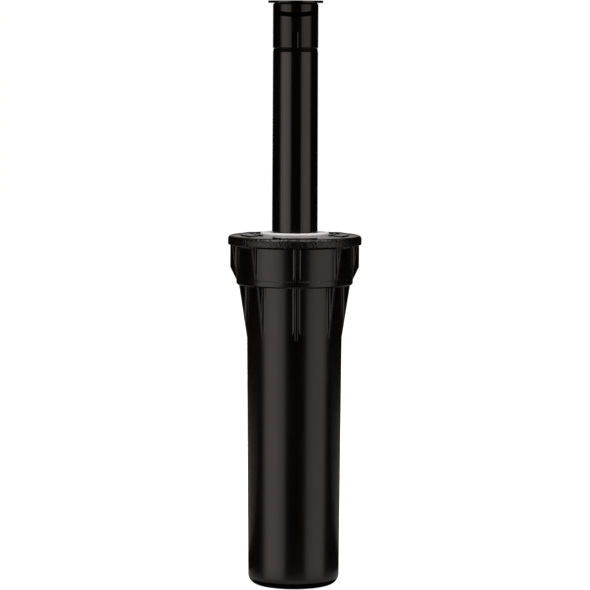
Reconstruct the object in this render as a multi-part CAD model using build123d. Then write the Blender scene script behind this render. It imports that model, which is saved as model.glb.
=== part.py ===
from build123d import *

import math
import os

# A pop-up spray sprinkler of the 4 inch class, drawn with its riser at the top of its travel.
# Millimetres, +Z up. The origin is the centre of the case's base, on the plane it stands on.
# The cardinal ribs lie on the X and Y axes and the diagonal ones halfway between them.

# --- Driving dimensions. Heights are above the base. ---
RIB_COUNT = 8
WALL_GAP = 0.05              # between pieces that are pressed together but are not one piece
SINK = 0.2                   # how far a thread's root or a joined piece is sunk into its wall

# Case
CASE_BASE_RADIUS = 19.75
CASE_RADIUS = 20.55          # at the foot of the ribs; the moulding draft is below it
CASE_BASE_ROUND = 4.45
CASE_FLOOR = 2.6
CASE_FLOOR_ROUND = 2.2
CASE_BORE_LOW = 17.4
CASE_BORE = 18.35
CASE_NECK_RADIUS = 20.95
CASE_RIM = 147.5
CASE_RIM_ROUND = 0.5

# Ribs outside the case and the cap
RIBS_LOW = 108.2
RIBS_HIGH = 130.8
RIB_WIDTH = 1.4
RIB_TIP_ROUND = 0.4
RIB_ROOT_ROUND = 1.25
ROOT_REACH = 1.7             # of the ribs' rounded roots, beyond the wall they stand on
RIB_FOOT_REACH = 20.65
CASE_CARDINAL_REACH = 24.1
CASE_DIAGONAL_REACH = 23.6

# Keys on the inside of the case, which stop the ratchet ring from turning
KEY_WIDTH = 1.4
KEY_REACH = 15.6
KEY_TOP = 134.0
KEY_GAP = 0.35

# Inlet: 1/2 inch female pipe thread, 14 to the inch
INLET_CREST_RADIUS = 9.16
INLET_ROOT_RADIUS = 10.3
INLET_PITCH = 25.4 / 14
INLET_GROOVE_SHARE = 0.42    # of the pitch, at the crests
INLET_ROOT_SHARE = 0.08
INLET_DEPTH = 14.3
INLET_CHAMFER = 0.8
INLET_BOSS_RADIUS = 13.2
INLET_BOSS_TOP = 16.3
BOSS_GROOVE_LOW_RADIUS = 12.3
BOSS_GROOVE_HIGH_RADIUS = 14.3
BOSS_GROOVE = 0.6
SEAT_HOLE_RADIUS = 7.2
SEAT_LIP_RADIUS = 8.2
SEAT_LIP_TOP = 17.6

# Thread between case and cap
CAP_PITCH = 4.0
CASE_THREAD_RADIUS = 22.35
CASE_THREAD_ROOT_WIDTH = 2.3
CAP_THREAD_ROOT_WIDTH = 2.1
CAP_THREAD_CREST_WIDTH = 0.9
CASE_THREAD_LOW = 134.5
CASE_THREAD_TURNS = 2.9
CAP_THREAD_CREST_RADIUS = 21.4
CAP_THREAD_ROOT_RADIUS = 22.75
CAP_THREAD_TURNS = 2.5

# Cap
CAP_TOP = 152.65             # at the hole; the top face falls a little towards the rim
CAP_FALL = 0.5
CAP_LOW = 130.9
CAP_RING_HIGH = 133.9
CAP_RING_RADIUS = 25.25
CAP_RING_EDGE = 0.4
CAP_SKIRT_RADIUS = 24.85
CAP_FIN_WIDTH = 1.0          # the thin outer part of the cardinal ribs
CAP_FIN_REACH = 27.9
CAP_FIN_LOW = 132.9
CAP_FIN_FULL = 138.4         # the fins taper out below this height
CAP_RIB_REACH = 27.3
CAP_FLANGE_RADIUS = 28.9
CAP_FLANGE_LOW = 148.25
CAP_FLANGE_ROUND = 1.5
CAP_FLANGE_LOW_ROUND = 0.35
CAP_UNDER_ROUND = 1.2        # between the skirt and the flange
CAP_PLATE_LOW = 149.4
CAP_HOLE_RADIUS = 14.95

# Raised marks on the cap
MARK_BANDS = ((16.9, 17.9), (19.4, 23.6))
MARK_HEIGHT = 0.4
MARK_HALF_ANGLE = 34

# Seal stack
SEAL_RADIUS = 14.85
SEAL_TOP = 153.45
SEAL_LOW = 147.6
SEAL_FLANGE_RADIUS = 20.7
SEAL_LIP_RADIUS = 9.97
SEAL_WAIST_RADIUS = 11.27    # between the two lips
SUPPORT_LOW = 140.0
SUPPORT_RADIUS = 18.05
SUPPORT_BORE = 10.2
PILOT_LENGTH = 3.5           # of the collar that centres the spring
POCKET_INNER = 13.6
POCKET_OUTER = 16.2
POCKET_LOW = 144.0
SPOKE_WIDTH = 1.6

# Spring, fully compressed
SPRING_RADIUS = 13.9         # to the middle of the wire
WIRE_RADIUS = 0.7
SPRING_PITCH = 1.5
SPRING_GAP = 0.03
SPRING_PLAY = 0.4

# Riser and what it carries
RISER_LOW_RADIUS = 9.94
RISER_TOP_RADIUS = 9.73
RISER_LOW = 120.3
RISER_SHOULDER = 232.7
RISER_CHAMFER = 0.25
RISER_CHAMFER_HEIGHT = 1.6
RISER_BORE = 7.8
COLLAR_RADIUS = 8.7          # a low collar that the flush cap closes over
COLLAR_TOP = 233.3
NECK_BORE = 6.2
NECK_THREAD_RADIUS = 7.94    # 5/8 inch nozzle thread, 27 to the inch
NECK_CORE_RADIUS = 7.42
NECK_TOP = 244.0
NECK_EDGE = 0.3
NOZZLE_PITCH = 25.4 / 27
NECK_THREAD_LOW = 234.7
NECK_THREAD_TURNS = 8.5

# Ratchet
RATCHET_LOW = 120.9
RATCHET_SEAT = 122.4
RATCHET_TOP = 126.4
RATCHET_RADIUS = 17.0
RATCHET_BORE = 10.2
FLANGE_LOW = 118.3
FLANGE_RADIUS = 14.5
TOOTH_COUNT = 36
TOOTH_HEIGHT = 0.45
TOOTH_WIDTH = 0.9
TOOTH_INNER = 11.0
TOOTH_LENGTH = 3.0

# Sleeve of the base, inside the riser's lower end
SLEEVE_BORE = 6.5
SLEEVE_TOP = 125.3
SLEEVE_FLOOR = 120.7

# Check valve under the riser
VALVE_LOW = 116.3
VALVE_SEAL_RADIUS = 9.4
VALVE_SEAL_BORE = 5.6
RETAINER_LOW = 115.3
RETAINER_RADIUS = 6.7
RETAINER_BORE = 3.8
RETAINER_STEM_OUTER = 5.4
RETAINER_STEM_INNER = 4.2
HOOK_REACH = 0.75
HOOK_LOW = 120.75
HOOK_TOP = 122.75
SLIT_WIDTH = 1.6
SLIT_LOW = 119.1

# Filter screen
SCREEN_LOW = 216.8
SCREEN_FLOOR = 1.0
SCREEN_RADIUS = 5.7
SCREEN_MESH_RADIUS = 5.0
MESH_THICKNESS = 0.25
SCREEN_FLANGE_RADIUS = 7.3
SCREEN_FLANGE_TOP = 244.8
WINDOW_WIDTH = 5.2
WINDOW_HEIGHT = 6.4
WINDOW_STEP = 7.6
WINDOW_ROWS = 3
WINDOW_LOW = 219.0

# Flush cap
FLUSH_TURN = -2.2            # the way its port faces, in degrees from -Y
FLUSH_LOW = 232.75
FLUSH_FOOT_CHAMFER = (0.2, 0.4)
FLUSH_RADIUS = 9.775
FLUSH_SHOULDER = 251.6
FLUSH_NECK_RADIUS = 9.0
FLUSH_DISC_LOW = 252.15
FLUSH_DISC_RADIUS = 11.85
FLUSH_DISC_EDGE = 253.15
FLUSH_TOP = 253.35
FLUSH_CEILING = 250.25
FLUSH_THREAD_ROOT_RADIUS = 8.2
FLUSH_THREAD_CREST_RADIUS = 7.66
FLUSH_THREAD_TURNS = 7.0
COUNTERBORE_RADIUS = 8.95
COUNTERBORE_TOP = 233.5
PORT_HEIGHT = 1.95
PORT_WIDTH = 14.0
PORT_DEPTH = 4.8
PORT_LEVEL = 247.05          # at the middle of the front
PORT_SLOPE = 14.0
KEY_PANEL_LEFT = -1.6
KEY_PANEL_RIGHT = 0.8
KEY_PANEL_BEVEL = 0.4
KEY_PANEL_DEPTH = 0.23
KEY_PANEL_HEIGHT = 6.9


# --- Helpers ---
def revolved(*points):
    """A solid of revolution about Z from (radius, height) corners; a third number rounds a corner."""
    face = make_face(Polyline(*[point[:2] for point in points], close=True))
    for point in points:
        if len(point) == 3:
            corner = face.vertices().sort_by_distance(point[:2])[0]
            face = fillet(corner, point[2])
    return revolve(Plane.XZ * face, Axis.Z)


def tube(inner, outer, low, high):
    """A plain ring or tube."""
    return revolved((inner, low), (outer, low), (outer, high), (inner, high))


def block(x_size, y_from, y_to, low, high):
    """A box centred on the Y axis, between two distances from the Z axis."""
    middle = ((y_from + y_to) / 2, (low + high) / 2)
    return Pos(0, middle[0], middle[1]) * Box(x_size, y_to - y_from, high - low)


def around(shape, count, start=0.0):
    """Copies of a shape, evenly spaced about Z."""
    return [Rot(0, 0, start + 360 * i / count) * shape for i in range(count)]


def helical_ridge(root, crest, root_width, crest_width, pitch, low, turns):
    """A right-handed ridge of trapezoid section, from the root radius to the crest radius."""
    path = Helix(pitch=pitch, height=pitch * turns, radius=root, center=(0, 0, low))
    section_plane = Plane(path @ 0, x_dir=(1, 0, 0), z_dir=path % 0)
    reach = crest - root
    section = make_face(
        Polyline(
            (0, -root_width / 2),
            (reach, -crest_width / 2),
            (reach, crest_width / 2),
            (0, root_width / 2),
            close=True,
        )
    )
    return sweep(section_plane * section, path=path, is_frenet=True)


def rib_roots(core_radius, low, high, reach_low, reach_high):
    """A column with the lower part of eight ribs, whose roots are rounded into it."""
    outline = Circle(core_radius)
    reach = core_radius + ROOT_REACH
    rib = Pos(0, reach / 2) * Rectangle(RIB_WIDTH, reach)
    for copy in around(rib, RIB_COUNT):
        outline += copy
    corners = [v for v in outline.vertices() if v.center().length < core_radius + 0.1]
    outline = fillet(corners, RIB_ROOT_ROUND)
    envelope = revolved(
        (0, low),
        (reach_low - RIB_TIP_ROUND, low),
        (reach_high - RIB_TIP_ROUND, high),
        (0, high),
    )
    return Pos(0, 0, low) * extrude(outline, high - low) & envelope


def rib_blade(low, high, reach_low, reach_high):
    """A rib towards +Y with a rounded tip, whose reach grows evenly with the height."""
    inner = reach_low / 2
    blade = Pos(0, (inner + reach_low) / 2) * Rectangle(RIB_WIDTH, reach_low - inner)
    tip = blade.vertices().sort_by(Axis.Y)[-2:]
    rise = Vector(0, reach_high - reach_low, high - low)
    return Pos(0, 0, low) * extrude(fillet(tip, RIB_TIP_ROUND), rise.length, dir=rise)


# --- Case ---
def case():
    shell = revolved(
        (0, 0),
        (CASE_BASE_RADIUS, 0, CASE_BASE_ROUND),
        (CASE_RADIUS, RIBS_LOW),
        (CASE_RADIUS, RIBS_HIGH),
        (CASE_NECK_RADIUS, RIBS_HIGH),
        (CASE_NECK_RADIUS, CASE_RIM, CASE_RIM_ROUND),
        (0, CASE_RIM),
    )
    hollow = revolved(
        (0, INLET_BOSS_TOP),
        (INLET_BOSS_RADIUS, INLET_BOSS_TOP),
        (INLET_BOSS_RADIUS, CASE_FLOOR),
        (CASE_BORE_LOW, CASE_FLOOR, CASE_FLOOR_ROUND),
        (CASE_BORE, RIBS_HIGH),
        (CASE_BORE, CASE_RIM + 1),
        (0, CASE_RIM + 1),
    )
    body = shell + case_ribs() - hollow
    key = block(KEY_WIDTH, KEY_REACH, CASE_BORE_LOW + 1, CASE_FLOOR - 1, KEY_TOP)
    web = block(KEY_WIDTH, INLET_BOSS_RADIUS - 1, CASE_BORE_LOW + 1, CASE_FLOOR - 1, INLET_DEPTH - 1)
    body += around(key + web, RIB_COUNT, 360 / RIB_COUNT / 2)
    body += tube(SEAT_HOLE_RADIUS, SEAT_LIP_RADIUS, INLET_BOSS_TOP - 1, SEAT_LIP_TOP)
    body -= inlet_bore()
    body -= tube(BOSS_GROOVE_LOW_RADIUS, BOSS_GROOVE_HIGH_RADIUS, -1, BOSS_GROOVE)
    return body + case_thread()


def case_ribs():
    ribs = rib_roots(CASE_RADIUS, RIBS_LOW, RIBS_HIGH, RIB_FOOT_REACH, CASE_DIAGONAL_REACH)
    for start, reach in ((0, CASE_CARDINAL_REACH), (45, CASE_DIAGONAL_REACH)):
        ribs += around(rib_blade(RIBS_LOW, RIBS_HIGH, RIB_FOOT_REACH, reach), RIB_COUNT // 2, start)
    return ribs


def inlet_bore():
    bore = revolved(
        (0, -1),
        (INLET_CREST_RADIUS + INLET_CHAMFER + 1, -1),
        (INLET_CREST_RADIUS, INLET_CHAMFER),
        (INLET_CREST_RADIUS, INLET_DEPTH),
        (SEAT_HOLE_RADIUS, INLET_DEPTH),
        (SEAT_HOLE_RADIUS, SEAT_LIP_TOP + 1),
        (0, SEAT_LIP_TOP + 1),
    )
    groove = helical_ridge(
        INLET_CREST_RADIUS - SINK,
        INLET_ROOT_RADIUS,
        INLET_PITCH * INLET_GROOVE_SHARE,
        INLET_PITCH * INLET_ROOT_SHARE,
        INLET_PITCH,
        -INLET_PITCH,
        (INLET_DEPTH - 0.5) / INLET_PITCH,
    )
    return bore + groove


def case_thread():
    return helical_ridge(
        CASE_NECK_RADIUS - SINK,
        CASE_THREAD_RADIUS,
        CASE_THREAD_ROOT_WIDTH,
        CAP_THREAD_CREST_WIDTH,
        CAP_PITCH,
        CASE_THREAD_LOW,
        CASE_THREAD_TURNS,
    )


# --- Cap ---
def cap_top_at(radius):
    """The height of the cap's sloping top face."""
    return CAP_TOP - CAP_FALL * (radius - CAP_HOLE_RADIUS) / (CAP_FLANGE_RADIUS - CAP_HOLE_RADIUS)


def body_cap():
    outside = revolved(
        (0, CAP_LOW),
        (CAP_RING_RADIUS - 0.5, CAP_LOW),
        (CAP_RING_RADIUS, CAP_LOW + 0.6),
        (CAP_RING_RADIUS, CAP_RING_HIGH - CAP_RING_EDGE),
        (CAP_SKIRT_RADIUS, CAP_RING_HIGH),
        (CAP_SKIRT_RADIUS, CAP_FLANGE_LOW, CAP_UNDER_ROUND),
        (CAP_FLANGE_RADIUS, CAP_FLANGE_LOW, CAP_FLANGE_LOW_ROUND),
        (CAP_FLANGE_RADIUS, cap_top_at(CAP_FLANGE_RADIUS), CAP_FLANGE_ROUND),
        (CAP_HOLE_RADIUS, CAP_TOP),
        (0, CAP_TOP),
    )
    hollow = revolved(
        (0, CAP_LOW - 1),
        (CAP_THREAD_ROOT_RADIUS, CAP_LOW - 1),
        (CAP_THREAD_ROOT_RADIUS, CAP_PLATE_LOW),
        (CAP_HOLE_RADIUS, CAP_PLATE_LOW),
        (CAP_HOLE_RADIUS, CAP_TOP + 1),
        (0, CAP_TOP + 1),
    )
    thread = helical_ridge(
        CAP_THREAD_ROOT_RADIUS + SINK,
        CAP_THREAD_CREST_RADIUS,
        CAP_THREAD_ROOT_WIDTH,
        CAP_THREAD_CREST_WIDTH,
        CAP_PITCH,
        CASE_THREAD_LOW + CAP_PITCH / 2,
        CAP_THREAD_TURNS,
    )
    return outside + cap_ribs() - hollow + thread + cap_marks()


def cap_ribs():
    """Eight ribs under the flange, and a thin fin on each of the cardinal ones."""
    low, high = CAP_RING_HIGH, CAP_FLANGE_LOW + SINK
    foot_reach = CAP_RING_RADIUS
    ribs = rib_roots(CAP_SKIRT_RADIUS, low, high, foot_reach, CAP_RIB_REACH)
    ribs += around(rib_blade(low, high, foot_reach, CAP_RIB_REACH), RIB_COUNT)
    fin = block(CAP_FIN_WIDTH, CAP_SKIRT_RADIUS - 1, CAP_FIN_REACH + 1, CAP_FIN_LOW, high)
    envelope = revolved(
        (0, CAP_FIN_LOW),
        (foot_reach, CAP_FIN_LOW),
        (CAP_FIN_REACH, CAP_FIN_FULL),
        (CAP_FIN_REACH, high),
        (0, high),
    )
    return ribs + around(fin & envelope, RIB_COUNT // 2)


def cap_marks():
    """Plain raised arcs on the top face."""
    reach = 2 * CAP_FLANGE_RADIUS
    width = reach * math.tan(math.radians(MARK_HALF_ANGLE))
    wedge = extrude(make_face(Polyline((0, 0), (reach, -width), (reach, width), close=True)), 2 * CAP_TOP)
    marks = []
    for inner, outer in MARK_BANDS:
        band = revolved(
            (inner, cap_top_at(inner) - MARK_HEIGHT),
            (outer, cap_top_at(outer) - MARK_HEIGHT),
            (outer, cap_top_at(outer) + MARK_HEIGHT),
            (inner, cap_top_at(inner) + MARK_HEIGHT),
        )
        marks += around(band & wedge, 2)
    return marks


# --- Seal stack ---
def wiper_seal():
    return revolved(
        (SEAL_LIP_RADIUS, SEAL_TOP - 0.5),
        (SEAL_WAIST_RADIUS, SEAL_TOP - 2.2),
        (SEAL_WAIST_RADIUS, CAP_PLATE_LOW - 0.3),
        (SEAL_LIP_RADIUS, CAP_PLATE_LOW - 1.0),
        (SEAL_LIP_RADIUS, SEAL_LOW),
        (SEAL_FLANGE_RADIUS, SEAL_LOW, 0.3),
        (SEAL_FLANGE_RADIUS, CAP_PLATE_LOW - WALL_GAP, 0.3),
        (SEAL_RADIUS, CAP_PLATE_LOW - WALL_GAP),
        (SEAL_RADIUS, SEAL_TOP - 0.05, 0.3),
        (SEAL_LIP_RADIUS + 0.5, SEAL_TOP),
    )


def seal_support():
    pilot_radius = SPRING_RADIUS - WIRE_RADIUS - SPRING_PLAY
    ring = revolved(
        (SUPPORT_BORE, SUPPORT_LOW - PILOT_LENGTH),
        (pilot_radius, SUPPORT_LOW - PILOT_LENGTH, 0.6),
        (pilot_radius, SUPPORT_LOW),
        (SUPPORT_RADIUS - 0.4, SUPPORT_LOW),
        (SUPPORT_RADIUS, SUPPORT_LOW + 0.4),
        (SUPPORT_RADIUS, SEAL_LOW),
        (SUPPORT_BORE, SEAL_LOW),
    )
    ring -= tube(POCKET_INNER, POCKET_OUTER, POCKET_LOW, SEAL_LOW + 1)
    spoke = block(SPOKE_WIDTH, POCKET_INNER - SINK, POCKET_OUTER + SINK, POCKET_LOW - SINK, SEAL_LOW)
    return ring + around(spoke, RIB_COUNT)


# --- Spring and ratchet ---
def retraction_spring():
    low = RATCHET_SEAT + WIRE_RADIUS + SPRING_GAP
    high = SUPPORT_LOW - WIRE_RADIUS - SPRING_GAP
    path = Helix(
        pitch=SPRING_PITCH, height=high - low, radius=SPRING_RADIUS, center=(0, 0, low)
    )
    wire = Plane(path @ 0, z_dir=path % 0) * Circle(WIRE_RADIUS)
    return sweep(wire, path=path, is_frenet=True)


def ratchet_ring():
    cup_radius = SPRING_RADIUS + WIRE_RADIUS + SPRING_PLAY
    ring = revolved(
        (RATCHET_BORE, RATCHET_LOW),
        (RATCHET_RADIUS, RATCHET_LOW),
        (RATCHET_RADIUS, RATCHET_TOP, 0.5),
        (cup_radius, RATCHET_TOP),
        (cup_radius, RATCHET_SEAT),
        (RATCHET_BORE, RATCHET_SEAT),
    )
    notch = block(
        KEY_WIDTH + 2 * KEY_GAP,
        KEY_REACH - KEY_GAP,
        RATCHET_RADIUS + 1,
        RATCHET_LOW - 1,
        RATCHET_TOP + 1,
    )
    for copy in around(notch, RIB_COUNT, 360 / RIB_COUNT / 2):
        ring -= copy
    return ring


# --- Riser and check valve ---
def riser_tube():
    tube_wall = revolved(
        (RISER_BORE, RISER_LOW),
        (RISER_LOW_RADIUS, RISER_LOW),
        (RISER_TOP_RADIUS, RISER_SHOULDER - RISER_CHAMFER_HEIGHT),
        (RISER_TOP_RADIUS - RISER_CHAMFER, RISER_SHOULDER),
        (COLLAR_RADIUS, RISER_SHOULDER),
        (COLLAR_RADIUS, COLLAR_TOP),
        (NECK_CORE_RADIUS, COLLAR_TOP),
        (NECK_CORE_RADIUS, NECK_TOP - NECK_EDGE),
        (NECK_CORE_RADIUS - NECK_EDGE, NECK_TOP),
        (NECK_BORE, NECK_TOP),
        (NECK_BORE, RISER_SHOULDER - 2),
        (RISER_BORE, RISER_SHOULDER - 5),
    )
    thread = helical_ridge(
        NECK_CORE_RADIUS - SINK / 2,
        NECK_THREAD_RADIUS,
        NOZZLE_PITCH * 0.62,
        NOZZLE_PITCH * 0.2,
        NOZZLE_PITCH,
        NECK_THREAD_LOW,
        NECK_THREAD_TURNS,
    )
    return tube_wall + thread


def riser_base():
    """The flange that is fixed in the riser's lower end, with the ratchet's teeth on top."""
    deck = RISER_LOW - TOOTH_HEIGHT
    base = revolved(
        (VALVE_SEAL_BORE, FLANGE_LOW),
        (FLANGE_RADIUS, FLANGE_LOW, 0.4),
        (FLANGE_RADIUS, deck),
        (RISER_LOW_RADIUS, deck),
        (RISER_LOW_RADIUS, RISER_LOW),
        (RISER_BORE, RISER_LOW),
        (RISER_BORE, SLEEVE_TOP),
        (SLEEVE_BORE, SLEEVE_TOP),
        (SLEEVE_BORE, SLEEVE_FLOOR),
        (VALVE_SEAL_BORE, SLEEVE_FLOOR),
    )
    profile = make_face(
        Polyline((-TOOTH_WIDTH / 2, 0), (TOOTH_WIDTH / 2, 0), (0, TOOTH_HEIGHT), close=True)
    )
    end_plane = Plane((0, TOOTH_INNER, deck - WALL_GAP), x_dir=(1, 0, 0), z_dir=(0, 1, 0))
    tooth = extrude(end_plane * Rot(180, 0, 0) * profile, TOOTH_LENGTH)
    return base + around(tooth, TOOTH_COUNT)


def valve_seal():
    return tube(VALVE_SEAL_BORE, VALVE_SEAL_RADIUS, VALVE_LOW, FLANGE_LOW)


def valve_retainer():
    body = revolved(
        (RETAINER_BORE, RETAINER_LOW),
        (RETAINER_RADIUS, RETAINER_LOW, 0.4),
        (RETAINER_RADIUS, VALVE_LOW),
        (RETAINER_STEM_OUTER, VALVE_LOW),
        (RETAINER_STEM_OUTER, HOOK_LOW),
        (RETAINER_STEM_OUTER + HOOK_REACH, HOOK_LOW),
        (RETAINER_STEM_OUTER, HOOK_TOP),
        (RETAINER_STEM_INNER, HOOK_TOP),
        (RETAINER_STEM_INNER, VALVE_LOW),
        (RETAINER_BORE, VALVE_LOW),
    )
    slit = block(SLIT_WIDTH, -RETAINER_RADIUS - 1, RETAINER_RADIUS + 1, SLIT_LOW, HOOK_TOP + 1)
    return body - slit - Rot(0, 0, 90) * slit


# --- Filter screen ---
def filter_screen():
    flange_low = NECK_TOP + WALL_GAP
    basket = revolved(
        (0, SCREEN_LOW),
        (SCREEN_RADIUS, SCREEN_LOW),
        (SCREEN_RADIUS, flange_low),
        (SCREEN_FLANGE_RADIUS, flange_low),
        (SCREEN_FLANGE_RADIUS, SCREEN_FLANGE_TOP),
        (SCREEN_MESH_RADIUS, SCREEN_FLANGE_TOP),
        (SCREEN_MESH_RADIUS, SCREEN_LOW + SCREEN_FLOOR),
        (0, SCREEN_LOW + SCREEN_FLOOR),
    )
    reach = SCREEN_RADIUS + 1
    for row in range(WINDOW_ROWS):
        low = WINDOW_LOW + row * WINDOW_STEP
        window = block(WINDOW_WIDTH, -reach, reach, low, low + WINDOW_HEIGHT)
        basket = basket - window - Rot(0, 0, 90) * window
    return basket


def screen_mesh():
    inner = SCREEN_MESH_RADIUS - MESH_THICKNESS
    return tube(inner, SCREEN_MESH_RADIUS, SCREEN_LOW + SCREEN_FLOOR, NECK_TOP - 1)


# --- Flush cap ---
def flush_cap():
    outside = revolved(
        (0, FLUSH_LOW),
        (FLUSH_RADIUS - FLUSH_FOOT_CHAMFER[0], FLUSH_LOW),
        (FLUSH_RADIUS, FLUSH_LOW + FLUSH_FOOT_CHAMFER[1]),
        (FLUSH_RADIUS, FLUSH_SHOULDER, 0.3),
        (FLUSH_NECK_RADIUS, FLUSH_DISC_LOW),
        (FLUSH_DISC_RADIUS, FLUSH_DISC_LOW, 0.25),
        (FLUSH_DISC_RADIUS, FLUSH_DISC_EDGE, 0.15),
        (0, FLUSH_TOP),
    )
    chamber_low = SCREEN_FLANGE_TOP + WALL_GAP
    inside = revolved(
        (0, FLUSH_LOW - 1),
        (COUNTERBORE_RADIUS, FLUSH_LOW - 1),
        (COUNTERBORE_RADIUS, COUNTERBORE_TOP),
        (FLUSH_THREAD_ROOT_RADIUS, COUNTERBORE_TOP),
        (FLUSH_THREAD_ROOT_RADIUS, chamber_low),
        (NECK_BORE, chamber_low),
        (NECK_BORE, FLUSH_CEILING),
        (0, FLUSH_CEILING),
    )
    thread = helical_ridge(
        FLUSH_THREAD_ROOT_RADIUS + SINK / 2,
        FLUSH_THREAD_CREST_RADIUS,
        NOZZLE_PITCH * 0.5,
        NOZZLE_PITCH * 0.2,
        NOZZLE_PITCH,
        NECK_THREAD_LOW + NOZZLE_PITCH / 2,
        FLUSH_THREAD_TURNS,
    )
    cap = outside - inside + thread - flush_port() - key_panel()
    return Rot(0, 0, FLUSH_TURN) * cap


def flush_port():
    """The slot, cut along a plane that falls towards the front."""
    slot = block(PORT_WIDTH, -PORT_DEPTH, PORT_DEPTH, -PORT_HEIGHT / 2, PORT_HEIGHT / 2)
    return Pos(0, -FLUSH_RADIUS, PORT_LEVEL) * Rot(PORT_SLOPE, 0, 0) * slot


def key_panel():
    """A shallow recess with one bevelled side, at the lower edge of the front."""
    floor = -FLUSH_RADIUS + KEY_PANEL_DEPTH
    outer = -FLUSH_RADIUS - 1
    end = KEY_PANEL_RIGHT + KEY_PANEL_BEVEL
    outline = Polyline(
        (KEY_PANEL_LEFT, floor),
        (KEY_PANEL_RIGHT, floor),
        (end, -FLUSH_RADIUS),
        (end, outer),
        (KEY_PANEL_LEFT, outer),
        close=True,
    )
    return Pos(0, 0, FLUSH_LOW - 1) * extrude(make_face(outline), KEY_PANEL_HEIGHT + 1)


NODES = {
    "case": case,
    "body_cap": body_cap,
    "wiper_seal": wiper_seal,
    "seal_support_ring": seal_support,
    "retraction_spring": retraction_spring,
    "ratchet_ring": ratchet_ring,
    "riser_tube": riser_tube,
    "riser_base": riser_base,
    "valve_seal": valve_seal,
    "valve_retainer": valve_retainer,
    "filter_screen": filter_screen,
    "screen_mesh": screen_mesh,
    "flush_cap": flush_cap,
}


def main():
    os.makedirs("parts", exist_ok=True)
    for name, build in NODES.items():
        shape = build()
        export_step(shape, f"parts/{name}.step")
        print(f"{name}: {shape.volume:.1f} mm3, {len(shape.solids())} solid(s)")


main()
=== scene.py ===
import math

import bmesh
import bpy
from mathutils import Matrix, Vector


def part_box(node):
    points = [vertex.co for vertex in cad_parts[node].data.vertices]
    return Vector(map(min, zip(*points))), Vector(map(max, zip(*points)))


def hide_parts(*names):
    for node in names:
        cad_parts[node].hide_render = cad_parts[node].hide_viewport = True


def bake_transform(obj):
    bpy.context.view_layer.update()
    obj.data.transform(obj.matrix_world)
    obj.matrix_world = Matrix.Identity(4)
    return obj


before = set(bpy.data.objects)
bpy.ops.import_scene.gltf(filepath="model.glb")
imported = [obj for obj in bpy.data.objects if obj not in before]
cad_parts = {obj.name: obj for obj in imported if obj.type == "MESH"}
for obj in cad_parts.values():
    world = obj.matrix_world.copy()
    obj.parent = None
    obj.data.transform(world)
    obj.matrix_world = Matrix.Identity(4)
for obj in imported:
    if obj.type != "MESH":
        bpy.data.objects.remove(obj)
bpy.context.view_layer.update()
MM = 0.001                   # the scene is in metres

# --- Camera: a long lens, a little above the object's middle, aimed slightly down ---
CAMERA_DISTANCE = 1.295
CAMERA_HEIGHT = 0.2363
CAMERA_AZIMUTH = 2.2         # degrees towards -X; the middle ribs show just right of the middle
CAMERA_PITCH = 0.08482       # radians below the horizon
CAMERA_YAW = 0.00015         # radians; the object stands this little left of the middle
CAMERA_ROLL = 0.235          # degrees; the object leans this much
FOCAL_SHARE = 3000 / 590     # focal length over sensor width
SENSOR = 36.0

# --- Studio settings: metres, degrees and radiances ---
LIGHT_TINT = (1.0, 0.955, 0.945)
PANEL_DISTANCE = 1.0
PANEL_TOP = 0.42
PANEL_FOOT = -0.50           # the panels go on below the floor, which reflections mostly don't see
# Strips of even brightness side by side: (from, to, radiance), in degrees from -Y towards +X.
LEFT_PANEL = ((-84, -77, 0.5), (-77, -66, 1.45), (-66, -44, 1.62), (-44, -34, 1.35), (-34, -25, 1.05))
RIGHT_PANEL = ((28, 42, 0.92), (42, 76, 1.12), (76, 83, 0.4))
BACKDROP = (170.8, 188.8, 0.36)    # behind, for the cap's top face
BACKDROP_FOOT = 0.25
BACKDROP_TOP = 1.0
BACKDROP_DISTANCE = 1.5
TOP_LIGHTS = (-58, 58)       # their azimuths, which keep them out of the flange's dark middle
TOP_LIGHT_SIZE = 0.9
TOP_LIGHT_DISTANCE = 1.5
TOP_LIGHT_ELEVATION = 62
TOP_LIGHT_RADIANCE = 5.8
SURROUND = 0.006
FLOOR_REACH = 3.0            # half the floor's side
FLOOR_WHITE = 0.85
FLOOR_GLOW = 0.97
# Reflections show only a ring of floor round the object and, fainter, the floor behind it. The hole inside
# the ring, under the base, is a painted contact shadow that reflections see as dark.
FLOOR_RING_PAST_PAINTED_SHADOW = (0.0222, 0.045)
FLOOR_BEHIND = 0.08
FLOOR_FADE = (0.75, 0.45)    # radii between which the floor behind fades out
FLOOR_BOUNCE = 0.55
FLOOR_FAINTER = 0.42         # the floor behind, as a share of the ring's brightness


# --- Shader helpers ---
def new_material(name):
    """A node material with its shader, ready to be filled in."""
    material = bpy.data.materials.new(name)
    material.use_nodes = True
    return material, material.node_tree, material.node_tree.nodes["Principled BSDF"]


def noise(tree, scale, detail=2.0, stretch=(1, 1, 1)):
    """A noise texture in the row frame, so its grain has a real size."""
    place = tree.nodes.new("ShaderNodeTexCoord")
    mapping = tree.nodes.new("ShaderNodeMapping")
    mapping.inputs["Scale"].default_value = stretch
    texture = tree.nodes.new("ShaderNodeTexNoise")
    texture.inputs["Scale"].default_value = scale
    texture.inputs["Detail"].default_value = detail
    tree.links.new(place.outputs["Object"], mapping.inputs["Vector"])
    tree.links.new(mapping.outputs["Vector"], texture.inputs["Vector"])
    return texture.outputs["Fac"]


def ranged(tree, value, low, high, from_low=0.3, from_high=0.7):
    """The value mapped onto low..high."""
    node = tree.nodes.new("ShaderNodeMapRange")
    node.inputs["From Min"].default_value = from_low
    node.inputs["From Max"].default_value = from_high
    node.inputs["To Min"].default_value = low
    node.inputs["To Max"].default_value = high
    tree.links.new(value, node.inputs["Value"])
    return node.outputs["Result"]


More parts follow.
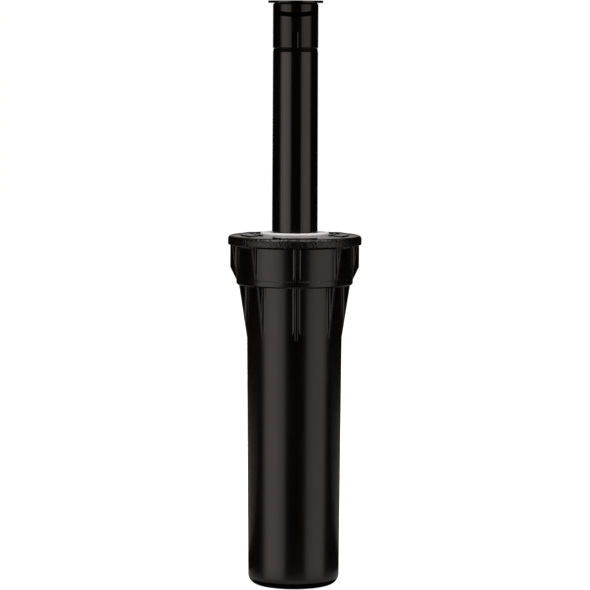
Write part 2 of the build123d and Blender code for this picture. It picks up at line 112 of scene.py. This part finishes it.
def math_node(tree, operation, first, second=None):
    """One Math node; inputs are sockets or numbers."""
    node = tree.nodes.new("ShaderNodeMath")
    node.operation = operation
    for socket, value in zip(node.inputs, (first, second)):
        if value is None:
            continue
        if isinstance(value, (int, float)):
            socket.default_value = value
        else:
            tree.links.new(value, socket)
    return node.outputs[0]


def place_xyz(tree):
    """The three coordinates of the point, in the row frame."""
    place = tree.nodes.new("ShaderNodeTexCoord")
    split = tree.nodes.new("ShaderNodeSeparateXYZ")
    tree.links.new(place.outputs["Object"], split.inputs["Vector"])
    return split.outputs


def radius_at(tree):
    """The distance from the Z axis."""
    x, y, _ = place_xyz(tree)
    squares = [math_node(tree, "MULTIPLY", side, side) for side in (x, y)]
    return math_node(tree, "SQRT", math_node(tree, "ADD", *squares))


def tinted(tree, value, dark, light):
    """A colour that runs from dark to light with the value."""
    ramp = tree.nodes.new("ShaderNodeValToRGB")
    for end, position, colour in zip(ramp.color_ramp.elements, RAMP, (dark, light)):
        end.position = position
        end.color = (*colour, 1)
    tree.links.new(value, ramp.inputs["Fac"])
    return ramp.outputs["Color"]


def add_bump(tree, shader, height, strength, distance):
    bump = tree.nodes.new("ShaderNodeBump")
    bump.inputs["Strength"].default_value = strength
    bump.inputs["Distance"].default_value = distance
    tree.links.new(height, bump.inputs["Height"])
    tree.links.new(bump.outputs["Normal"], shader.inputs["Normal"])


# --- Materials ---
BLACK = (0.0024, 0.0014, 0.0008)
WARM_GLOSS = (1.0, 0.92, 0.86, 1)
FLOW_SCALE = 90.0            # noise scales, in cells to the metre
GLOSS_SCALE = 240.0
GRAIN_SCALE = 2500.0
PEBBLE_SCALE = 1080.0
DUST_SCALE = 320.0
SKIN_SCALE = 1800.0
STEEL_SCALE = 1500.0
RAMP = (0.35, 0.65)          # the part of a noise's values over which its colours change
GRAIN_DEPTH = 0.004          # millimetres
GRAIN_STRENGTH = 0.5
PEBBLE_RELIEF = 105.0        # the pebbles' height, as a multiple of the grain's
PEBBLE_SMOOTHNESS = 0.3

# The cap's rim and top face, measured in from the highest and widest points of its box.
RIM_WIDTH = 1.5 * MM
RIM_BLEND = 0.5 * MM
RIM_HEIGHT = 4.6 * MM
TOP_DEPTH = 1.4 * MM
CAP_SATIN = (0.22, 0.28)
RIM_DULLER = 0.04
TOP_GLOSSIER = 0.16

MESH_WIRES = 60.0            # upright wires round the filter's mesh
MESH_PITCH = 0.5 * MM


def plastic_body(name, colour, gloss_level, spread=0.25):
    """A black or coloured plastic with faint flow marks along the part, still without its gloss and grain."""
    material, tree, shader = new_material(name)
    flow = noise(tree, FLOW_SCALE, 3.0, stretch=(1, 1, 0.25))
    dark = [c * (1 - spread) for c in colour]
    light = [c * (1 + spread) for c in colour]
    tree.links.new(tinted(tree, flow, dark, light), shader.inputs["Base Color"])
    shader.inputs["Specular Tint"].default_value = WARM_GLOSS
    shader.inputs["Specular IOR Level"].default_value = gloss_level
    return material, tree, shader


def moulded_plastic(name, colour, roughness, gloss_level=0.5, grain_depth=GRAIN_DEPTH, spread=0.25):
    """Moulded plastic: faint flow marks along the part and a fine grain."""
    material, tree, shader = plastic_body(name, colour, gloss_level, spread)
    patches = noise(tree, GLOSS_SCALE, 3.0, stretch=(1, 1, 0.4))
    gloss = ranged(tree, patches, roughness * 0.9, roughness * 1.1)
    tree.links.new(gloss, shader.inputs["Roughness"])
    add_bump(tree, shader, noise(tree, GRAIN_SCALE, 2.0), GRAIN_STRENGTH, grain_depth * MM)
    return material


def cap_zones(tree):
    """Where the cap's rim is, and where its top face is: 1 there and 0 elsewhere."""
    widest, _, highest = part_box("body_cap")[1]
    height = place_xyz(tree)[2]
    rim_start = widest - RIM_WIDTH
    outer = ranged(tree, radius_at(tree), 0.0, 1.0, rim_start, rim_start + RIM_BLEND)
    rim = math_node(tree, "MULTIPLY", outer, math_node(tree, "GREATER_THAN", height, highest - RIM_HEIGHT))
    above = math_node(tree, "GREATER_THAN", height, highest - TOP_DEPTH)
    top = math_node(tree, "MULTIPLY", above, math_node(tree, "SUBTRACT", 1.0, rim))
    return rim, top


def pebbles(tree):
    """A coarse pebbled grain, with cells a little under a millimetre across that are low in the middle."""
    cells = tree.nodes.new("ShaderNodeTexVoronoi")
    cells.feature = "SMOOTH_F1"
    cells.inputs["Smoothness"].default_value = PEBBLE_SMOOTHNESS
    cells.inputs["Scale"].default_value = PEBBLE_SCALE
    place = tree.nodes.new("ShaderNodeTexCoord")
    tree.links.new(place.outputs["Object"], cells.inputs["Vector"])
    return math_node(tree, "MULTIPLY", cells.outputs["Distance"], PEBBLE_RELIEF)


def cap_plastic(name, colour):
    """The cap's plastic: a polished top face, a pebbled and duller rim, a satin skirt."""
    material, tree, shader = plastic_body(name, colour, 0.45)
    rim, top = cap_zones(tree)
    satin = ranged(tree, noise(tree, GLOSS_SCALE, 3.0), *CAP_SATIN)
    duller = math_node(tree, "ADD", satin, math_node(tree, "MULTIPLY", rim, RIM_DULLER))
    polish = math_node(tree, "SUBTRACT", duller, math_node(tree, "MULTIPLY", top, TOP_GLOSSIER))
    tree.links.new(polish, shader.inputs["Roughness"])
    pebbled = math_node(tree, "MULTIPLY", pebbles(tree), rim)
    relief = math_node(tree, "ADD", noise(tree, GRAIN_SCALE, 2.0), pebbled)
    add_bump(tree, shader, relief, GRAIN_STRENGTH, GRAIN_DEPTH * MM)
    return material


def rubber(name, colour, roughness):
    """Smooth elastomer with a little dust and a dull skin."""
    material, tree, shader = new_material(name)
    dust = noise(tree, DUST_SCALE, 4.0)
    tree.links.new(tinted(tree, dust, [c * 0.93 for c in colour], colour), shader.inputs["Base Color"])
    tree.links.new(ranged(tree, dust, roughness, roughness * 1.25), shader.inputs["Roughness"])
    add_bump(tree, shader, noise(tree, SKIN_SCALE, 2.0), 0.4, 0.006 * MM)
    return material


def drawn_steel(name, colour, roughness):
    """Stainless steel with fine marks."""
    material, tree, shader = new_material(name)
    marks = noise(tree, STEEL_SCALE, 3.0)
    tree.links.new(tinted(tree, marks, [c * 0.85 for c in colour], colour), shader.inputs["Base Color"])
    tree.links.new(ranged(tree, marks, roughness * 0.8, roughness * 1.3), shader.inputs["Roughness"])
    shader.inputs["Metallic"].default_value = 1.0
    add_bump(tree, shader, marks, 0.3, 0.004 * MM)
    return material


def woven_mesh(name):
    """Fine wire cloth round the Z axis: the wires stand out of gaps painted near-black, which is painted
    shade between the wires.
    """
    material, tree, shader = new_material(name)
    x, y, z = place_xyz(tree)
    angle = math_node(tree, "ARCTAN2", y, x)
    warp = math_node(tree, "SINE", math_node(tree, "MULTIPLY", angle, MESH_WIRES))
    weft = math_node(tree, "SINE", math_node(tree, "MULTIPLY", z, 2 * math.pi / MESH_PITCH))
    wires = math_node(tree, "MAXIMUM", warp, weft)
    # The gaps' near-black is painted shade where the cloth's holes are; the wires keep the steel's own grey.
    colour = tinted(tree, ranged(tree, wires, 0.0, 1.0, -0.2, 1.0), (0.02, 0.02, 0.02), (0.55, 0.55, 0.53))
    tree.links.new(colour, shader.inputs["Base Color"])
    shader.inputs["Metallic"].default_value = 1.0
    shader.inputs["Roughness"].default_value = 0.35
    add_bump(tree, shader, wires, 0.6, 0.05 * MM)
    return material


def paint(material, *names):
    """Gives CAD nodes this material."""
    for name in names:
        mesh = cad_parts[name].data
        mesh.materials.clear()
        mesh.materials.append(material)


def paint_all():
    paint(moulded_plastic("case_plastic", BLACK, 0.235, 0.43), "case")
    paint(cap_plastic("cap_plastic", BLACK), "body_cap")
    paint(moulded_plastic("riser_plastic", BLACK, 0.15, 0.5, 0.002), "riser_tube")
    paint(moulded_plastic("flush_plastic", BLACK, 0.17, 0.36, 0.003), "flush_cap")
    paint(moulded_plastic("base_plastic", (0.012, 0.012, 0.012), 0.35), "riser_base")
    paint(moulded_plastic("support_plastic", (0.045, 0.045, 0.045), 0.4), "seal_support_ring")
    paint(moulded_plastic("ratchet_plastic", (0.55, 0.53, 0.47), 0.38, spread=0.06), "ratchet_ring")
    paint(moulded_plastic("retainer_plastic", (0.03, 0.03, 0.03), 0.35), "valve_retainer")
    paint(moulded_plastic("screen_plastic", (0.01, 0.01, 0.01), 0.4), "filter_screen")
    paint(rubber("seal_rubber", (0.93, 0.92, 0.91), 0.42), "wiper_seal")
    paint(rubber("valve_rubber", (0.02, 0.02, 0.02), 0.6), "valve_seal")
    paint(woven_mesh("mesh_steel"), "screen_mesh")


# --- The spring: a coil of round wire built between the CAD spring's ends ---
SPRING_RADIUS = 13.9 * MM
WIRE_RADIUS = 0.7 * MM
SPRING_TURNS = 10.4
STEPS_PER_TURN = 48
WIRE_SIDES = 10


def coil_mesh(low, high):
    """A coil of round wire, capped at both ends; the wire's middle starts and ends at the two heights."""
    shape = bmesh.new()
    steps = int(SPRING_TURNS * STEPS_PER_TURN)
    rings = []
    for step in range(steps + 1):
        turn = 2 * math.pi * step / STEPS_PER_TURN
        level = low + (high - low) * step / steps
        outward = Vector((math.cos(turn), math.sin(turn), 0))
        ring = []
        for side in range(WIRE_SIDES):
            angle = 2 * math.pi * side / WIRE_SIDES
            reach = SPRING_RADIUS + WIRE_RADIUS * math.cos(angle)
            point = outward * reach + Vector((0, 0, level + WIRE_RADIUS * math.sin(angle)))
            ring.append(shape.verts.new(point))
        rings.append(ring)
    for ring, following in zip(rings, rings[1:]):
        for side in range(WIRE_SIDES):
            after = (side + 1) % WIRE_SIDES
            shape.faces.new((ring[side], following[side], following[after], ring[after]))
    shape.faces.new(rings[0])
    shape.faces.new(reversed(rings[-1]))
    bmesh.ops.recalc_face_normals(shape, faces=shape.faces)
    mesh = bpy.data.meshes.new("spring_coil")
    shape.to_mesh(mesh)
    shape.free()
    mesh.shade_smooth()
    return mesh


def make_spring():
    low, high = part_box("retraction_spring")
    first = low[2] + WIRE_RADIUS
    last = high[2] - WIRE_RADIUS
    spring = bpy.data.objects.new("spring_coil", coil_mesh(first, last))
    bpy.context.scene.collection.objects.link(spring)
    spring.data.materials.append(drawn_steel("spring_steel", (0.62, 0.62, 0.60), 0.3))
    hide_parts("retraction_spring")
    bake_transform(spring)


# --- Studio ---
def direction(azimuth):
    """The level direction at this azimuth, from -Y towards +X."""
    return Vector((math.sin(math.radians(azimuth)), -math.cos(math.radians(azimuth)), 0))


def area_light(name, place, target, width, height, radiance):
    """A flat light of even brightness at the place, facing the target."""
    data = bpy.data.lights.new(name, "AREA")
    data.shape = "RECTANGLE"
    data.size = width
    data.size_y = height
    data.energy = radiance * math.pi * width * height
    data.color = LIGHT_TINT
    lamp = bpy.data.objects.new(name, data)
    bpy.context.scene.collection.objects.link(lamp)
    lamp.location = place
    lamp.rotation_euler = (target - place).to_track_quat("-Z", "Y").to_euler()


def standing_panel(name, start, end, radiance, distance, foot, top):
    """A tall panel between two directions and two heights."""
    ends = [direction(azimuth) * distance for azimuth in (start, end)]
    level = Vector((0, 0, (top + foot) / 2))
    middle = (ends[0] + ends[1]) / 2 + level
    width = (ends[1] - ends[0]).length
    area_light(name, middle, level, width, top - foot, radiance)


def make_lights():
    for name, strips in (("left", LEFT_PANEL), ("right", RIGHT_PANEL)):
        for number, (start, end, radiance) in enumerate(strips):
            standing_panel(f"{name}_{number}", start, end, radiance, PANEL_DISTANCE, PANEL_FOOT, PANEL_TOP)
    standing_panel("backdrop", *BACKDROP, BACKDROP_DISTANCE, BACKDROP_FOOT, BACKDROP_TOP)
    rise = math.radians(TOP_LIGHT_ELEVATION)
    seal = Vector((0, 0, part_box("wiper_seal")[1][2]))
    for number, azimuth in enumerate(TOP_LIGHTS):
        way = direction(azimuth) * math.cos(rise) + Vector((0, 0, math.sin(rise)))
        place = seal + way * TOP_LIGHT_DISTANCE
        area_light(f"top_{number}", place, seal, TOP_LIGHT_SIZE, TOP_LIGHT_SIZE, TOP_LIGHT_RADIANCE)


def make_camera():
    data = bpy.data.cameras.new("camera")
    data.sensor_width = SENSOR
    data.lens = SENSOR * FOCAL_SHARE
    data.dof.use_dof = False
    camera = bpy.data.objects.new("camera", data)
    bpy.context.scene.collection.objects.link(camera)
    turn = Matrix.Rotation(math.radians(-CAMERA_AZIMUTH), 4, "Z")
    place = Matrix.Translation((0, -CAMERA_DISTANCE, CAMERA_HEIGHT))
    yaw = Matrix.Rotation(-CAMERA_YAW, 4, "Z")
    tilt = Matrix.Rotation(math.pi / 2 - CAMERA_PITCH, 4, "X")
    roll = Matrix.Rotation(math.radians(CAMERA_ROLL), 4, "Z")
    camera.matrix_world = turn @ place @ yaw @ tilt @ roll
    bpy.context.scene.camera = camera


def make_world():
    """Plain white to look at, and a dark studio to be lit in."""
    world = bpy.data.worlds.new("studio")
    world.use_nodes = True
    bpy.context.scene.world = world
    tree = world.node_tree
    tree.nodes.clear()
    path = tree.nodes.new("ShaderNodeLightPath")
    seen = tree.nodes.new("ShaderNodeBackground")
    seen.inputs["Color"].default_value = (1, 1, 1, 1)
    around = tree.nodes.new("ShaderNodeBackground")
    around.inputs["Color"].default_value = (SURROUND, SURROUND, SURROUND, 1)
    mix = tree.nodes.new("ShaderNodeMixShader")
    output = tree.nodes.new("ShaderNodeOutputWorld")
    tree.links.new(path.outputs["Is Camera Ray"], mix.inputs["Fac"])
    tree.links.new(around.outputs["Background"], mix.inputs[1])
    tree.links.new(seen.outputs["Background"], mix.inputs[2])
    tree.links.new(mix.outputs["Shader"], output.inputs["Surface"])


def mix_shaders(tree, share, first, second):
    mix = tree.nodes.new("ShaderNodeMixShader")
    tree.links.new(share, mix.inputs["Fac"])
    tree.links.new(first, mix.inputs[1])
    tree.links.new(second, mix.inputs[2])
    return mix.outputs["Shader"]


def floor_material():
    """Pale card to the eye. Reflections pass through it to the foot of the panels, but for the kept parts;
    the hole inside the kept ring, under the base, is a painted contact shadow.
    """
    material, tree, shader = new_material("floor")
    shader.inputs["Base Color"].default_value = (FLOOR_WHITE, FLOOR_WHITE, FLOOR_WHITE, 1)
    shader.inputs["Roughness"].default_value = 0.9
    glow = tree.nodes.new("ShaderNodeEmission")
    glow.inputs["Color"].default_value = (1, 1, 1, 1)
    glow.inputs["Strength"].default_value = FLOOR_GLOW
    card = tree.nodes.new("ShaderNodeAddShader")
    tree.links.new(shader.outputs["BSDF"], card.inputs[0])
    tree.links.new(glow.outputs["Emission"], card.inputs[1])
    clear = tree.nodes.new("ShaderNodeBsdfTransparent")
    bounce = tree.nodes.new("ShaderNodeBsdfDiffuse")
    bounce.inputs["Color"].default_value = (FLOOR_BOUNCE, FLOOR_BOUNCE, FLOOR_BOUNCE, 1)
    radius = radius_at(tree)
    # The floor under the base is left out of reflections, which then see dark there: a painted contact
    # shadow.
    clear_of_painted_shadow = math_node(tree, "GREATER_THAN", radius, FLOOR_RING_PAST_PAINTED_SHADOW[0])
    inside = math_node(tree, "LESS_THAN", radius, FLOOR_RING_PAST_PAINTED_SHADOW[1])
    beyond = math_node(tree, "GREATER_THAN", place_xyz(tree)[1], FLOOR_BEHIND)
    behind = math_node(tree, "MULTIPLY", beyond, ranged(tree, radius, 0.0, FLOOR_FAINTER, *FLOOR_FADE))
    ring = math_node(tree, "MULTIPLY", clear_of_painted_shadow, inside)
    kept = math_node(tree, "MAXIMUM", ring, behind)
    reflected = mix_shaders(tree, kept, clear.outputs["BSDF"], bounce.outputs["BSDF"])
    path = tree.nodes.new("ShaderNodeLightPath")
    whole = mix_shaders(tree, path.outputs["Is Camera Ray"], reflected, card.outputs["Shader"])
    tree.links.new(whole, tree.nodes["Material Output"].inputs["Surface"])
    return material


def make_floor():
    mesh = bpy.data.meshes.new("floor")
    corners = [(x * FLOOR_REACH, y * FLOOR_REACH, 0) for x, y in ((-1, -1), (1, -1), (1, 1), (-1, 1))]
    mesh.from_pydata(corners, [], [(0, 1, 2, 3)])
    floor = bpy.data.objects.new("floor", mesh)
    bpy.context.scene.collection.objects.link(floor)
    mesh.materials.append(floor_material())


bpy.context.scene.view_settings.view_transform = "Standard"
make_camera()
make_world()
make_floor()
make_lights()
paint_all()
make_spring()
